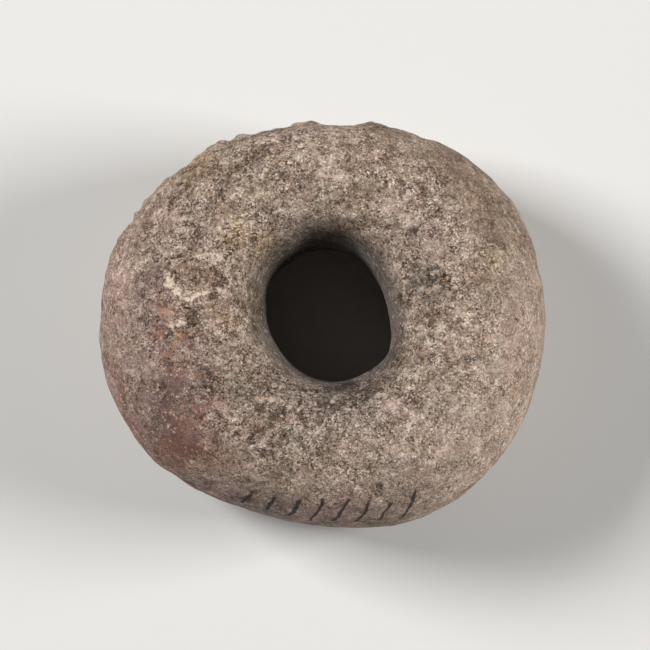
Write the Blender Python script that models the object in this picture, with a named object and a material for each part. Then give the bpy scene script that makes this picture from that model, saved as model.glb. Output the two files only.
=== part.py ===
"""A hand-ground stone spindle whorl: one thick ring of speckled grey stone, bored through for its spindle.

The ring starts as a torus, and its vertices are moved by formula. Seen from above, the rim and the hole
are circles bent by a few slow waves, because both were ground by hand. Cut through, the stone is a rounded
block: the wall of the hole is steep, the rim is fuller and rounder, and the crest lies nearer to the hole.
The underside is ground back to a flat ring on which the whorl rests, and one side of the rim is bruised.
The origin is under the middle of the whorl, on the surface that it rests on, with +Z along the hole.
"""

import bpy
import numpy as np

# Driving sizes, in metres
WIDTH = 0.0450  # across the rim along X
DEPTH = 0.0409  # across the rim along Y
THICKNESS = 0.0205  # from the flat underside to the highest part of the crest
HOLE_WIDTH = 0.0127  # across the narrowest part of the hole along X
HOLE_DEPTH = 0.0139  # across the narrowest part of the hole along Y
HOLE_SHIFT_X = 0.0007  # how far the hole was bored off the middle
HOLE_SHIFT_Y = 0.0010
REST_GRIND = 0.0004  # how much of the round underside is ground away
MARK_DEPTH = 0.0003  # of a full bruise or hump on the rough side of the rim
MARK_REACH = 0.0021  # from the middle of a mark to where it ends, along the rim

# Form of the section, as shares of the stone's width between the hole and the rim
CREST_SHARE = 0.42  # place of the crest, from the hole outwards
WALL_SQUARENESS = 2.6  # 2 is an ellipse, and a higher value is a steeper wall with a tighter lip
RIM_SQUARENESS = 2.4

# Slow waves: how many lobes, their height as a share of the radius, and the angle of one peak in degrees
RIM_WAVES = ((2, 0.086, 179), (3, 0.018, 59), (4, 0.010, 34))
HOLE_WAVES = ((2, 0.091, 114), (3, 0.025, 82), (5, 0.015, 34))
CREST_WAVES = ((1, 0.012, 250), (2, 0.008, 20), (3, 0.006, 95))

# Marks of the rough side: angle around the rim in degrees, and height as a share of MARK_DEPTH,
# below zero where stone is lost
RIM_MARKS = (
    (14, -0.6),
    (31, 0.6),
    (62, -0.9),
    (75, 1.2),
    (86, -0.6),
    (95, 1.0),
    (105, -0.5),
    (121, 1.3),
    (133, -1.1),
    (152, -0.7),
    (163, 0.9),
    (178, -0.6),
)
MARK_TALL = 2.2  # how much taller a mark is than it is wide
MARK_LIFT = 0.2  # how far a mark's middle is above the widest part, as a share of half the thickness

AROUND_SEGMENTS = 96
SECTION_SEGMENTS = 44
OUTLINE_SAMPLES = 1440

STONE_COLOUR = (0.30, 0.235, 0.19, 1.0)
STONE_ROUGHNESS = 0.85


def clear_scene():
    for item in list(bpy.data.objects):
        bpy.data.objects.remove(item, do_unlink=True)


def stone_material():
    material = bpy.data.materials.new("speckled stone")
    material.use_nodes = True
    shader = material.node_tree.nodes["Principled BSDF"]
    shader.inputs["Base Color"].default_value = STONE_COLOUR
    shader.inputs["Roughness"].default_value = STONE_ROUGHNESS
    shader.inputs["Metallic"].default_value = 0.0
    return material


def waved(angle, waves):
    """One, plus each wave's share times the cosine of its lobes, counted from its peak."""
    level = np.ones_like(angle)
    for lobes, share, peak in waves:
        level += share * np.cos(lobes * (angle - np.radians(peak)))
    return level


def waved_circle(angle, waves):
    """A circle of radius one bent by the waves, as (x, y) for each angle."""
    return waved(angle, waves)[:, None] * np.stack([np.cos(angle), np.sin(angle)], axis=1)


def fitted_outline(angle, waves, width, depth):
    """The waved circle, centred and stretched until it fills width by depth exactly."""
    whole = waved_circle(np.linspace(0, 2 * np.pi, OUTLINE_SAMPLES), waves)
    low, high = whole.min(axis=0), whole.max(axis=0)
    return (waved_circle(angle, waves) - (low + high) / 2) / (high - low) * (width, depth)


def section_of(angle):
    """A superellipse round the crest, as (side, height): side is -1 at the hole and 1 at the rim.

    Its squareness n is that of the wall on one half and of the rim on the other. The distance from
    the middle is (|cos|^n + |sin|^n)^(-1/n).
    """
    across = np.cos(angle)
    up = np.sin(angle)
    squareness = np.where(across < 0, WALL_SQUARENESS, RIM_SQUARENESS)
    reach = (np.abs(across) ** squareness + np.abs(up) ** squareness) ** (-1 / squareness)
    return reach * across, reach * up


def push_marks(points, across, half):
    """Moves the rim out or in around each mark, level, along the lines that run across the stone.

    A mark fades as (1 - d^2)^2, where d is the distance from its middle as a share of its reach.
    """
    outward = across / np.linalg.norm(across, axis=1)[:, None]
    for degrees, share in RIM_MARKS:
        centre = fitted_outline(np.radians([degrees]), RIM_WAVES, WIDTH, DEPTH)[0]
        along = np.linalg.norm(points[:, :2] - centre, axis=1) / MARK_REACH
        rise = (points[:, 2] - half * (1 + MARK_LIFT)) / (MARK_REACH * MARK_TALL)
        fade = np.clip(1 - along**2 - rise**2, 0, None) ** 2
        points[:, :2] += outward * (fade * share * MARK_DEPTH)[:, None]


def ring_surface(around, section):
    """The stone's surface for an angle around the ring and an angle around its section.

    Seen from above, a point lies on the line from the hole's outline to the rim's. The section's
    side of -1, 0 and 1 falls on the hole, the crest and the rim. Its height is scaled to half of
    the stone before grinding, and what would reach below the table is cut off at z = 0.
    """
    side, height = section_of(section)
    rim = fitted_outline(around, RIM_WAVES, WIDTH, DEPTH)
    hole = fitted_outline(around, HOLE_WAVES, HOLE_WIDTH, HOLE_DEPTH) + (HOLE_SHIFT_X, HOLE_SHIFT_Y)
    share = CREST_SHARE + side * np.where(side < 0, CREST_SHARE, 1 - CREST_SHARE)
    across = rim - hole
    place = hole + across * share[:, None]

    half = (THICKNESS + REST_GRIND) / 2
    crest = waved(around, CREST_WAVES)
    highest = waved(np.linspace(0, 2 * np.pi, OUTLINE_SAMPLES), CREST_WAVES).max()
    swell = np.where(height > 0, crest / highest, 1)
    points = np.column_stack([place, half - REST_GRIND + half * height * swell])

    push_marks(points, across, half)
    points[:, 2] = np.maximum(points[:, 2], 0)
    return points


def make_whorl(collection):
    """A torus whose vertices say which angle they stand for, moved onto the stone's surface."""
    tube = (WIDTH - HOLE_WIDTH) / 4
    reach = WIDTH / 2 - tube
    bpy.ops.mesh.primitive_torus_add(
        major_radius=reach,
        minor_radius=tube,
        major_segments=AROUND_SEGMENTS,
        minor_segments=SECTION_SEGMENTS,
    )
    whorl = bpy.context.object
    whorl.name = "whorl"
    mesh = whorl.data
    mesh.name = "whorl"

    torus = np.empty((len(mesh.vertices), 3))
    mesh.vertices.foreach_get("co", torus.ravel())
    around = np.arctan2(torus[:, 1], torus[:, 0])
    section = np.arctan2(torus[:, 2], np.hypot(torus[:, 0], torus[:, 1]) - reach)
    mesh.vertices.foreach_set("co", ring_surface(around, section).ravel())
    mesh.update()
    mesh.shade_smooth()

    mesh.materials.append(stone_material())
    for other in list(whorl.users_collection):
        other.objects.unlink(whorl)
    collection.objects.link(whorl)
    return whorl


def main():
    clear_scene()
    collection = bpy.data.collections.new("stone spindle whorl")
    bpy.context.scene.collection.children.link(collection)
    make_whorl(collection)


main()
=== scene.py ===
# %% [markdown]
# # A stone spindle whorl
#
# A whorl is the flywheel of a hand spindle: a ring of stone, pushed on to a stick, that keeps it turning
# while thread is twisted. This one was ground by hand from a fine-grained, speckled stone. The plain solid
# is already made and weighs what it should. This lesson gives it its skin: a fine mesh with the dents, pits
# and pecked texture of the real stone, and a material with its grain, stains and dirt.
#
# The frame is loaded first. Everything below is in metres, in the same frame as the solid, so that
# nothing has to be fitted afterwards.

import bpy
import numpy as np
from mathutils import Matrix, Vector


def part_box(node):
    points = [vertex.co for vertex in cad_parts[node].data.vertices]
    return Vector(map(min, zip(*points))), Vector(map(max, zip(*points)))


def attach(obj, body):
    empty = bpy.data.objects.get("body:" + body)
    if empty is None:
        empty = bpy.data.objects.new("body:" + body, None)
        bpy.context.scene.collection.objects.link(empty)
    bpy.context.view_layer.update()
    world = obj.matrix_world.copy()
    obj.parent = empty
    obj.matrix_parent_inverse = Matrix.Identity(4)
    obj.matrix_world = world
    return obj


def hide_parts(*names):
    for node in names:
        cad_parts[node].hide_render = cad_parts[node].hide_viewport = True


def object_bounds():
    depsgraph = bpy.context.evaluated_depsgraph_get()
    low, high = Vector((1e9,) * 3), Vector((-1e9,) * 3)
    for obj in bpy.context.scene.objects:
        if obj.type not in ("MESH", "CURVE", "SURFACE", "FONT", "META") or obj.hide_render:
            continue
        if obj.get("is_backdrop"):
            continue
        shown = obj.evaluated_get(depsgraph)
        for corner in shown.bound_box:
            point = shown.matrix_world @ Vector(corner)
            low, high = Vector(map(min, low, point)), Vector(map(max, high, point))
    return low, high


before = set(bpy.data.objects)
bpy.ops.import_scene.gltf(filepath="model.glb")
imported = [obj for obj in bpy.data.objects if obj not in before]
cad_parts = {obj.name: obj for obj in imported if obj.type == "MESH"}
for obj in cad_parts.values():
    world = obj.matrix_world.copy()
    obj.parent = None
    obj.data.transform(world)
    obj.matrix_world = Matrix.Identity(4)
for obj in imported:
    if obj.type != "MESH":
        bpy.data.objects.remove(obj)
solid_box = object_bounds()
low, high = (np.array(corner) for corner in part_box("whorl"))
MM = 0.001
print("the solid measures", np.round((high - low) / MM, 2), "mm")

# %% [markdown]
# ## The camera
#
# The photograph was taken from almost straight above, leaning a little towards the near edge, so that
# some of the hole's far wall shows. A long lens keeps the ring from bulging. The camera's place follows
# from how far the view leans each way, how far off it is, and how much it takes in.

# %% Camera
LEAN_BACK = np.radians(6.5)
LEAN_RIGHT = np.radians(1.65)
CAMERA_DISTANCE = 0.5
FRAME_ACROSS = 65.72 * MM
SENSOR = 36.0
AIM = Vector((0.3 * MM, 0.0, 10.0 * MM))


def add_camera():
    """A camera that looks at AIM along a line leaning off the vertical, with +Y upwards in the picture."""
    side, back = np.sin(LEAN_RIGHT), -np.sin(LEAN_BACK)
    towards = Vector((side, back, np.sqrt(1 - side**2 - back**2)))
    right = Vector((0, 1, 0)).cross(towards).normalized()
    data = bpy.data.cameras.new("camera")
    data.sensor_width = SENSOR
    data.lens = SENSOR * CAMERA_DISTANCE / FRAME_ACROSS
    camera = bpy.data.objects.new("camera", data)
    camera.location = AIM + towards * CAMERA_DISTANCE
    camera.rotation_euler = Matrix((right, towards.cross(right), towards)).transposed().to_euler()
    bpy.context.scene.collection.objects.link(camera)
    return camera


camera = add_camera()
bpy.context.scene.camera = camera
print("lens", round(camera.data.lens, 1), "mm, camera at", np.round(np.array(camera.location), 3), "m")

# %% [markdown]
# ## The form of the ring
#
# Nobody measured this ring when it was made, so neither its rim nor its hole is a true circle. Both can be
# described by a circle whose radius rises and falls a few times on the way round. Such a sum of slow waves
# needs only a handful of numbers, and it closes on itself without a seam. The same waves shaped the solid.

# %% Outlines seen from above
RIM_SHARE = (1.001, 0.9963)  # the humps on the rim reach past its plain outline in Y
RIM_SIZE = (high - low)[:2] * RIM_SHARE
HOLE_SIZE = np.array((12.7, 13.9)) * MM
HOLE_SHIFT = np.array((0.7, 1.0)) * MM
RIM_WAVES = ((2, 0.086, 179), (3, 0.018, 59), (4, 0.010, 34))
HOLE_WAVES = ((2, 0.091, 114), (3, 0.025, 82), (5, 0.015, 34))
CREST_WAVES = ((1, 0.012, 250), (2, 0.008, 20), (3, 0.006, 95))
OUTLINE_STEPS = 1440


def waved(angle, waves):
    """One, plus for each wave (lobes, share, peak) its share times the cosine of lobes * (angle - peak)."""
    return 1 + sum(share * np.cos(lobes * (angle - np.radians(peak))) for lobes, share, peak in waves)


def fitted_outline(angle, waves, size):
    """A waved circle, centred and stretched so that it fills the size exactly, as (x, y) for each angle."""
    turn = np.linspace(0, 2 * np.pi, OUTLINE_STEPS)
    whole = waved(turn, waves)[:, None] * np.stack([np.cos(turn), np.sin(turn)], axis=-1)
    bent = waved(angle, waves)[..., None] * np.stack([np.cos(angle), np.sin(angle)], axis=-1)
    lowest, highest = whole.min(axis=0), whole.max(axis=0)
    return (bent - (lowest + highest) / 2) / (highest - lowest) * size


print("rim", np.round(RIM_SIZE / MM, 2), "mm, hole", np.round(HOLE_SIZE / MM, 2), "mm")

# %% [markdown]
# Cut the ring through, and each side is a rounded block of stone. A superellipse draws it: its squareness
# says how full the corners are. The wall of the hole is steeper than the rim, and the crest is nearer to
# the hole, so the two halves of the section have their own squareness and their own share of the width.

# %% The section of the ring
HEIGHT = high[2]
REST_GRIND = 0.4 * MM
HALF = (HEIGHT + REST_GRIND) / 2
CREST_SHARE = 0.42
WALL_SQUARENESS = 2.6
RIM_SQUARENESS = 2.4
CLOSE_STEPS = 4001
TOP_WEIGHT = 1.5


def section_of(angle):
    """(side, height) of a superellipse: the reach from its middle is (|cos|^n + |sin|^n)^(-1/n)."""
    squareness = np.where(np.cos(angle) < 0, WALL_SQUARENESS, RIM_SQUARENESS)
    reach = (np.abs(np.cos(angle)) ** squareness + np.abs(np.sin(angle)) ** squareness) ** (-1 / squareness)
    return reach * np.cos(angle), reach * np.sin(angle)


def section_steps(count):
    """Angles that cut the section into steps of one length below, and of two thirds of it on the top.

    They are read off the section's summed length, weighted by TOP_WEIGHT on the top, at close steps.
    """
    angle = np.linspace(-np.pi, np.pi, CLOSE_STEPS)
    side, height = section_of(angle)
    width = RIM_SIZE.mean() / 2 - HOLE_SIZE.mean() / 2
    across = side * width * np.where(side < 0, CREST_SHARE, 1 - CREST_SHARE)
    weight = np.where(height[1:] > 0, TOP_WEIGHT, 1.0)
    steps = weight * np.hypot(np.diff(across), np.diff(height * HALF))
    length = np.concatenate([[0], np.cumsum(steps)])
    return np.interp(np.arange(count) / count * length[-1], length, angle)


def plain_surface(around, section):
    """The smooth stone: from the hole's outline to the rim's as side goes from -1 to 1, and HALF * height
    up or down from its middle. The underside isn't ground off yet, so it reaches REST_GRIND below zero."""
    side, height = section_of(section)
    rim = fitted_outline(around, RIM_WAVES, RIM_SIZE)
    hole = fitted_outline(around, HOLE_WAVES, HOLE_SIZE) + HOLE_SHIFT
    share = CREST_SHARE + side * np.where(side < 0, CREST_SHARE, 1 - CREST_SHARE)
    place = hole + (rim - hole) * share[..., None]
    swell = waved(around, CREST_WAVES)
    swell = np.where(height > 0, swell / swell.max(), 1)
    return np.concatenate([place, (HALF - REST_GRIND + HALF * height * swell)[..., None]], axis=-1)


AROUND, SECTION = 500, 198
around_steps = np.linspace(-np.pi, np.pi, AROUND, endpoint=False) + np.pi / 2
around_grid, section_grid = np.meshgrid(around_steps, section_steps(SECTION), indexing="ij")
plain = plain_surface(around_grid, section_grid)
print("grid of", AROUND, "by", SECTION, "points,", 2 * AROUND * SECTION, "triangles")
steps_across = np.linalg.norm(np.diff(plain, axis=1), axis=-1) / MM
print("steps across the section from", round(steps_across.min(), 2), "to", round(steps_across.max(), 2), "mm")

# %% [markdown]
# ## Chance that repeats
#
# Stone is uneven everywhere and nowhere twice alike. Two kinds of chance are enough here. The first is a
# smooth field: random numbers on the corners of a lattice, with an eased blend between them. The second
# scatters round pits, one in each cell of a lattice. Both take their numbers from a seeded generator, so
# the stone comes out the same on every run, and both read the place in space, so they have no seams.

# %% Smooth random field
BLOCK = 64
SHIFT_BY_SEED = 0.37


def random_block(seed):
    """A block of random numbers from -1 to 1 that repeats every BLOCK cells."""
    return np.random.default_rng(seed).uniform(-1, 1, (BLOCK, BLOCK, BLOCK))


def looked_up(block, cell):
    """The block's number at each whole-number cell (x, y, z)."""
    x, y, z = np.moveaxis(cell % BLOCK, -1, 0)
    return block[x, y, z]


def unevenness(points, size, seed):
    """Smooth noise from about -1 to 1. The blend between corners is eased by t^3 (6 t^2 - 15 t + 10)."""
    block = random_block(seed)
    place = points / size + SHIFT_BY_SEED * seed
    cell = np.floor(place).astype(int)
    t = place - cell
    eased = t**3 * (t * (6 * t - 15) + 10)
    total = np.zeros(points.shape[:-1])
    for corner in np.ndindex(2, 2, 2):
        weight = np.where(np.array(corner) == 1, eased, 1 - eased).prod(axis=-1)
        total += weight * looked_up(block, cell + corner)
    return total


broad = unevenness(plain, 6 * MM, 1)
print("broad unevenness from", round(broad.min(), 2), "to", round(broad.max(), 2))

# %% Scattered pits
PIT_STRAY = 0.4
PIT_RADIUS, PIT_RADIUS_SPREAD = 0.28, 0.16


def pits(points, size, seed, share):
    """Round hollows, from 0 on the plain to 1 at the deepest, at most one to a cell and in a share of them.

    Each has its own place in its cell and its own radius, and is (1 - d^2)^2 deep at d of its radius.
    """
    blocks = [random_block(seed + k) for k in range(5)]
    place = points / size + SHIFT_BY_SEED * seed
    cell = np.floor(place).astype(int)
    deepest = np.zeros(points.shape[:-1])
    for step in np.ndindex(3, 3, 3):
        near = cell + np.array(step) - 1
        centre = near + 0.5 + PIT_STRAY * np.stack([looked_up(b, near) for b in blocks[:3]], axis=-1)
        radius = PIT_RADIUS + PIT_RADIUS_SPREAD * looked_up(blocks[3], near)
        chosen = looked_up(blocks[4], near) < 2 * share - 1
        d = np.linalg.norm(place - centre, axis=-1) / radius
        deepest = np.maximum(deepest, np.where(chosen, np.clip(1 - d**2, 0, None) ** 2, 0))
    return deepest


large_pits = pits(plain, 1.9 * MM, 20, 0.7)
print("pits cover", round(100 * (large_pits > 0.05).mean(), 1), "% of the stone")

# %% [markdown]
# ## Where the stone is rough, and where hands wore it smooth
#
# The top was pecked with a hard point and never polished, and neither was the far left of the rim, where
# the edge is also bruised. The other sides and the wall of the hole were rubbed smooth by hands and by the
# spindle. One mask holds this, from 0 for worn to 1 for rough, and everything below is scaled by it. Its
# parts are soft ovals on the top of the stone, placed in millimetres and pushed out of shape by the field.

# %% Soft ovals
SLOW_PUSH, QUICK_PUSH = 0.9, 0.5


def eased_step(value, start, end):
    """0 before start, 1 after end, and the smooth curve 3 t^2 - 2 t^3 between them."""
    t = np.clip((value - start) / (end - start), 0, 1)
    return t * t * (3 - 2 * t)


def warped_place(points):
    """Places in mm, pushed about by up to a millimetre or so, so that no patch keeps a smooth edge."""
    slow = np.stack([unevenness(points, 2.6 * MM, 61), unevenness(points, 2.6 * MM, 62)], axis=-1)
    quick = np.stack([unevenness(points, 1.1 * MM, 63), unevenness(points, 1.1 * MM, 64)], axis=-1)
    return points[..., :2] / MM + SLOW_PUSH * slow + QUICK_PUSH * quick


def patches(place, ovals):
    """The largest of the ovals (x, y, length, width, turn, strength), in mm and degrees.

    Each is strength * exp(-(u / length)^2 - (v / width)^2) in its own turned axes.
    """
    total = np.zeros(place.shape[:-1])
    for x, y, long, wide, turn, strength in ovals:
        dx, dy = place[..., 0] - x, place[..., 1] - y
        c, s = np.cos(np.radians(turn)), np.sin(np.radians(turn))
        u, v = dx * c + dy * s, dy * c - dx * s
        total = np.maximum(total, strength * np.exp(-((u / long) ** 2) - (v / wide) ** 2))
    return total


patch_place = warped_place(plain)
longest_push = np.abs(patch_place - plain[..., :2] / MM).max()
print("patches are pushed by up to", round(longest_push, 2), "mm")

# %% Rough and worn


def angle_apart(angle, degrees):
    """How far an angle is from a direction, in degrees, the short way round."""
    return np.abs((np.degrees(angle) - degrees + 180) % 360 - 180)


ROUGHEST = (
    (-11.5, 4.0, 4.5, 7.0, 20, 0.35),
    (-9.0, 13.5, 7.0, 3.5, 30, 0.35),
    (1.5, -8.0, 6.0, 2.2, 5, 0.45),
    (8.8, 1.5, 3.0, 6.0, 0, 0.3),
)
SMOOTHEST = (
    (14.0, -10.0, 8.0, 4.0, 45, 0.35),
    (-19.0, 4.5, 3.0, 7.0, 0, 0.3),
    (19.5, -1.0, 3.5, 8.0, 0, 0.4),
)
TOP_EDGE = (0.35, 0.62)  # where the pecked top gives way to the side, which wanders with the broad field
TOP_EDGE_WANDER = 0.12
BRUISED_AT, BRUISED_EDGE = 112, (42, 62)  # degrees
LOWER_EDGE = (-0.9, 0.3)
WORN_LEVEL, ROUGH_MORE = 0.5, 0.35
BORE_SMOOTHED, BORE_EDGE = 0.7, (0.62, 0.92)
ROUGH_LIMITS = (0.12, 1.2)
side_grid, height_grid = section_of(section_grid)
on_top = 1 - eased_step(side_grid + TOP_EDGE_WANDER * broad, *TOP_EDGE)
bruised_side = 1 - eased_step(angle_apart(around_grid, BRUISED_AT), *BRUISED_EDGE)
rough = np.maximum(on_top, bruised_side) * eased_step(height_grid, *LOWER_EDGE)
rough = WORN_LEVEL + ROUGH_MORE * rough + patches(patch_place, ROUGHEST) - patches(patch_place, SMOOTHEST)
rough = np.clip(rough * (1 - BORE_SMOOTHED * eased_step(-side_grid, *BORE_EDGE)), *ROUGH_LIMITS)
print("rough from", round(rough.min(), 2), "to", round(rough.max(), 2))

# %% [markdown]
# ## Relief
#
# The relief is one number for each point: how far the skin stands proud of the smooth form or sinks into
# it, in metres. It adds up slow hand-ground swells, pecked lumps of a few sizes, pits, and the bruises and
# humps along the rough edge, which also shaped the solid. The skin then moves along its own normals.

# %% Marks along the rim
MARK_DEPTH = 0.3 * MM  # of a mark whose share is 1, which is out for a hump and in for a dent
MARK_LIFT = 0.2  # how far a mark's middle is above the widest part, as a share of HALF
HUMP_TALL, DENT_TALL = 4.6 * MM, 5.5 * MM
LARGE, SMALL, BROAD = 2.1 * MM, 1.0 * MM, 4.5 * MM
MARKS = (  # degrees round the rim, share of MARK_DEPTH, reach
    (14, -0.6, LARGE),
    (31, 0.6, LARGE),
    (62, -0.9, LARGE),
    (75, 1.2, LARGE),
    (86, -0.6, LARGE),
    (95, 1.0, LARGE),
    (105, -0.5, LARGE),
    (121, 1.3, LARGE),
    (133, -1.1, LARGE),
    (152, -0.7, LARGE),
    (163, 0.9, LARGE),
    (178, -0.6, LARGE),
    (27, 0.4, SMALL),
    (63, 0.8, SMALL),
    (67, 0.5, SMALL),
    (77, 0.5, SMALL),
    (82, -0.4, SMALL),
    (90, -0.5, SMALL),
    (99, 0.6, SMALL),
    (108, -0.4, SMALL),
    (111, -0.6, SMALL),
    (115.5, 1.0, SMALL),
    (119.5, -2.0, SMALL),
    (126, 0.8, SMALL),
    (131, 0.8, SMALL),
    (137.5, -0.8, SMALL),
    (148, 0.6, SMALL),
    (152, 1.0, SMALL),
    (158.5, 1.2, SMALL),
    (168, 0.5, SMALL),
    (216, 1.1, BROAD),
    (275, -0.5, BROAD),
    (301, -0.4, BROAD),
    (318, 0.5, BROAD),
    (328, 0.6, BROAD),
)


def rim_marks(points, marks):
    """Bruises and humps: each mark (degrees, share, reach) fades as (1 - d^2)^2 over its reach.

    All are taller than wide. A dent shows in the outline only if it runs well down the edge.
    """
    total = np.zeros(points.shape[:-1])
    for degrees, share, reach in marks:
        centre = fitted_outline(np.radians([degrees]), RIM_WAVES, RIM_SIZE)[0]
        along = np.linalg.norm(points[..., :2] - centre, axis=-1) / reach
        rise = (points[..., 2] - HALF * (1 + MARK_LIFT)) / (HUMP_TALL if share > 0 else DENT_TALL)
        total += share * MARK_DEPTH * np.clip(1 - along**2 - rise**2, 0, None) ** 2
    return total


marks = rim_marks(plain, MARKS)
print(len(MARKS), "marks from", round(marks.min() / MM, 2), "to", round(marks.max() / MM, 2), "mm")

# %% Chips on the bruised edge, and flats in the wall of the hole
CHIP_SQUEEZE = 0.3
CHIPS = ((1.2, 0.18, 71), (0.6, 0.15, 72))  # size and depth in mm, seed
WALL_WEAR = (  # degrees round the hole, mm that the wall is taken back, reach in degrees
    (66, 0.3, 30),
    (146, 0.55, 28),
    (306, -0.25, 24),
)
CHIPPED_RIM, CHIPPED_FOOT = (0.5, 0.8), (-0.7, -0.1)
FLATS_START = (0.5, 0.95)


def chipped(points):
    """Chips with sharp crests between them: minus the size of two noises that are stretched upwards."""
    tall = points * (1, 1, CHIP_SQUEEZE)
    return -sum(depth * MM * np.abs(unevenness(tall, size * MM, seed)) for size, depth, seed in CHIPS)


def wall_wear(angle):
    """Flats in the hole's wall: how far each (degrees, mm, reach) takes it back, fading as (1 - d^2)^2."""
    total = np.zeros(angle.shape)
    for degrees, depth, reach in WALL_WEAR:
        total += depth * MM * np.clip(1 - (angle_apart(angle, degrees) / reach) ** 2, 0, None) ** 2
    return total


rim_here = eased_step(side_grid, *CHIPPED_RIM) * eased_step(height_grid, *CHIPPED_FOOT)
marks += chipped(plain) * rim_here * bruised_side
marks -= wall_wear(around_grid) * eased_step(-side_grid, *FLATS_START)
print("marks with chips and flats from", round(marks.min() / MM, 2), "to", round(marks.max() / MM, 2), "mm")

# %% Add up the relief
BROAD_HEIGHT = 0.10 * MM
PECKING = ((2.3, 0.115, 2), (1.15, 0.105, 3), (0.62, 0.070, 4))  # size and height in mm, seed
LARGE_PIT_DEPTH, SMALL_PIT_DEPTH, LONE_PIT_DEPTH = 0.23, 0.14, 0.16
small_pits = pits(plain, 0.9 * MM, 40, 0.45)
lone_pits = pits(plain, 3.0 * MM, 80, 0.3)
texture = rough * sum(height * unevenness(plain, size * MM, seed) for size, height, seed in PECKING) * MM
dents = rough * (LARGE_PIT_DEPTH * large_pits + SMALL_PIT_DEPTH * small_pits)
dents = (dents + LONE_PIT_DEPTH * lone_pits) * MM
relief = BROAD_HEIGHT * broad + texture - dents
print("relief from", round(relief.min() / MM, 2), "to", round(relief.max() / MM, 2), "mm")

# %% Move the skin along its normals
REST_RELIEF = 0.4


def unit(vectors):
    """The vectors, each divided by its own length."""
    return vectors / np.linalg.norm(vectors, axis=-1, keepdims=True)


def normals_of(grid):
    """The cross product of the steps between neighbours, both ways along the grid, which is closed."""
    along_ring = np.roll(grid, -1, axis=0) - np.roll(grid, 1, axis=0)
    along_section = np.roll(grid, -1, axis=1) - np.roll(grid, 1, axis=1)
    return unit(np.cross(along_ring, along_section))


outward = normals_of(plain)
level_out = unit(outward * (1, 1, 0) + 1e-9)
skin = plain + outward * relief[..., None] + level_out * marks[..., None]
rest_skin = np.clip(dents - texture, 0, None) * REST_RELIEF  # the flat ring underneath keeps a little relief
skin[..., 2] = np.maximum(skin[..., 2], rest_skin)
print("skin box", np.round(skin.min(axis=(0, 1)) / MM, 2), np.round(skin.max(axis=(0, 1)) / MM, 2))

# %% Make the mesh


def closed_grid_mesh(name, grid):
    """A mesh from a grid of points, closed both ways, with a UV map of how far round each corner is."""
    rows, columns = grid.shape[:2]
    i, j = np.meshgrid(np.arange(rows), np.arange(columns), indexing="ij")
    corner_i = np.stack([i, i + 1, i + 1, i], axis=-1).reshape(-1)
    corner_j = np.stack([j, j, j + 1, j + 1], axis=-1).reshape(-1)
    vertex = (corner_i % rows) * columns + corner_j % columns
    mesh = bpy.data.meshes.new(name)
    mesh.vertices.add(rows * columns)
    mesh.vertices.foreach_set("co", grid.reshape(-1).astype(np.float32))
    mesh.loops.add(len(vertex))
    mesh.loops.foreach_set("vertex_index", vertex.astype(np.int32))
    mesh.polygons.add(rows * columns)
    mesh.polygons.foreach_set("loop_start", np.arange(0, len(vertex), 4, dtype=np.int32))
    mesh.update(calc_edges=True)
    mesh.validate()
    mesh.shade_smooth()
    uv = mesh.uv_layers.new(name="round")
    uv.data.foreach_set("uv", np.stack([corner_i / rows, corner_j / columns], axis=-1).reshape(-1))
    return mesh


stone = bpy.data.objects.new("stone_ring", closed_grid_mesh("stone_ring", skin))
bpy.context.scene.collection.objects.link(stone)
print(len(stone.data.vertices), "vertices,", len(stone.data.polygons), "faces")

# %% [markdown]
# ## Stains, and painted light and shade
#
# A thing this old has lain in the ground and in hands. Rust-red earth has soaked into the left side, a
# pale crust sits above it, and soot-dark dirt fills the near lip of the hole. Each stain is a handful of
# soft ovals again, and so are the paler and duller places, which are partly painted light and shade. The
# mesh carries them as attributes, one number for each vertex, and the material later breaks up their
# edges at the scale of the grain.

# %% Earth, rust, crust and soot, as (x, y, length, width, turn, strength)
RUST = (
    (-16.4, -2.4, 1.2, 0.9, 90, 0.45),
    (-13.8, -6.0, 2.2, 1.1, 100, 0.6),
    (-20.4, -6.8, 3.2, 0.7, 105, 0.7),
    (-18.6, -10.6, 2.6, 0.8, 125, 0.65),
    (-13.6, -13.4, 3.4, 1.8, 10, 0.9),
    (-13.0, -10.4, 1.2, 1.8, 0, 0.9),
    (-18.8, -12.4, 2.6, 1.2, -55, 1.0),
    (-11.0, -9.6, 2.0, 1.2, 40, 0.45),
    (-9.6, -13.6, 3.0, 1.6, -20, 0.35),
)
ORANGE = (
    (-14.8, -0.4, 1.3, 0.9, 100, 0.7),
    (-14.2, -3.2, 1.5, 0.55, 40, 0.75),
    (-15.9, -2.0, 0.6, 0.5, 0, 0.5),
    (19.8, -7.6, 1.6, 0.4, 65, 0.45),
    (-20.2, -3.0, 1.8, 0.6, 105, 0.5),
    (-12.6, -6.9, 1.2, 0.5, 60, 0.45),
    (-11.2, -9.8, 0.9, 0.5, 30, 0.5),
)
UMBER = (
    (-14.8, -8.8, 0.9, 3.8, 4, 1.2),
    (-13.8, -12.8, 1.9, 1.6, 0, 1.2),
    (-14.6, -11.5, 3.4, 4.0, 0, 0.55),
    (-15.2, -4.2, 0.8, 3.2, 8, 0.8),
    (-12.2, -6.4, 1.6, 1.6, 0, 0.6),
    (13.4, 15.4, 1.6, 3.6, 40, 0.55),
    (16.6, 9.6, 1.6, 3.0, 20, 0.5),
    (8.2, 18.0, 2.2, 1.0, -20, 0.5),
    (-10.5, 3.8, 1.0, 0.8, 0, 0.6),
    (-9.2, 1.4, 1.0, 1.6, 0, 0.5),
)
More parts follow.
